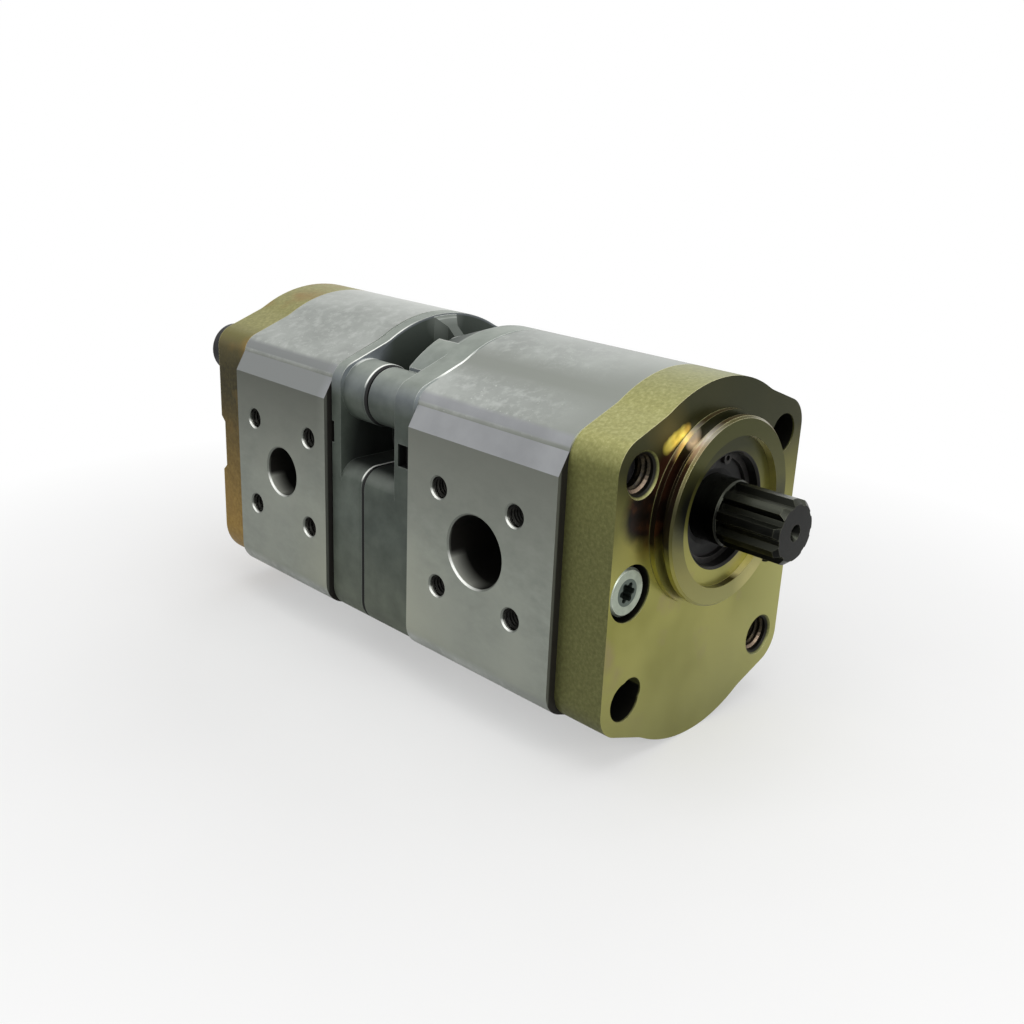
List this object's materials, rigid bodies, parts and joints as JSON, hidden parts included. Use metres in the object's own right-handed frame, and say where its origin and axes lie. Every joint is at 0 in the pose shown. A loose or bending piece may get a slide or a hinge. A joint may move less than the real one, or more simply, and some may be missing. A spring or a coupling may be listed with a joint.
{
  "type": "tandem gear pump",
  "caption": "Tandem hydraulic gear pump with a splined drive shaft, a pilot flange, square port pads on both sides and a lightened waist between its stages.",
  "frame": {"origin": "centre of the mounting hole square, in the flange's mounting face", "axes": "+X out of the mounting face along the drive shaft; -Y out of the inlet side's port faces; +Z from the idler gear towards the drive gear"},
  "size_m": [0.1999, 0.0846, 0.099],
  "materials": {
    "flange_zinc": "cast iron with yellow chromated zinc plating",
    "cover_zinc": "cast iron with yellow chromated zinc plating",
    "body_aluminium": "drawn aluminium with milled port faces",
    "waist_die_cast": "die-cast aluminium, dull grey",
    "block_aluminium": "machined die-cast aluminium",
    "bush_bronze": "rolled bronze-lined bush",
    "shaft_steel": "case-hardened steel, blackened",
    "gear_steel": "case-hardened ground steel",
    "seal_rubber": "black nitrile rubber",
    "ring_steel": "phosphated spring steel",
    "bolt_black": "black-oxide alloy steel",
    "screw_zinc": "zinc-plated steel",
    "pin_steel": "ground hardened steel"
  },
  "bodies": {
    "housing": {"front_flange": "flange_zinc", "shaft_seal": "seal_rubber", "seal_retaining_ring": "ring_steel", "front_pump_body": "body_aluminium", "front_stage_end_cover": "waist_die_cast", "rear_stage_front_cover": "waist_die_cast", "rear_pump_body": "body_aluminium", "rear_cover": "cover_zinc", "front_body_front_seal": "seal_rubber", "front_body_rear_seal": "seal_rubber", "rear_body_front_seal": "seal_rubber", "rear_body_rear_seal": "seal_rubber", "front_stage_front_block": "block_aluminium", "front_stage_rear_block": "block_aluminium", "rear_stage_front_block": "block_aluminium", "rear_stage_rear_block": "block_aluminium", "front_stage_front_block_seal": "seal_rubber", "front_stage_rear_block_seal": "seal_rubber", "rear_stage_front_block_seal": "seal_rubber", "rear_stage_rear_block_seal": "seal_rubber", "front_stage_bushes": "bush_bronze", "rear_stage_bushes": "bush_bronze", "stage_shaft_seal": "seal_rubber", "stage_joint_seal": "seal_rubber", "tie_bolts": "bolt_black", "flange_screws": "screw_zinc", "locating_pins": "pin_steel"},
    "drive_line": {"front_drive_gear": "shaft_steel", "shaft_coupling": "gear_steel", "rear_drive_gear": "gear_steel"},
    "front_idler": {"front_idler_gear": "gear_steel"},
    "rear_idler": {"rear_idler_gear": "gear_steel"}
  },
  "joints": [
    {"name": "drive_spin", "type": "hinge", "parent": "housing", "child": "drive_line", "pos_m": [0, 0, 0.0156], "axis": [1, 0, 0], "continuous": true},
    {"name": "front_idler_spin", "type": "hinge", "parent": "housing", "child": "front_idler", "pos_m": [-0.0429, 0, -0.0156], "axis": [1, 0, 0], "continuous": true},
    {"name": "rear_idler_spin", "type": "hinge", "parent": "housing", "child": "rear_idler", "pos_m": [-0.13095, 0, -0.0156], "axis": [1, 0, 0], "continuous": true}
  ],
  "couplings": [
    {"joint": "front_idler_spin", "follows": "drive_spin", "ratio": -1},
    {"joint": "rear_idler_spin", "follows": "drive_spin", "ratio": -1}
  ]
}
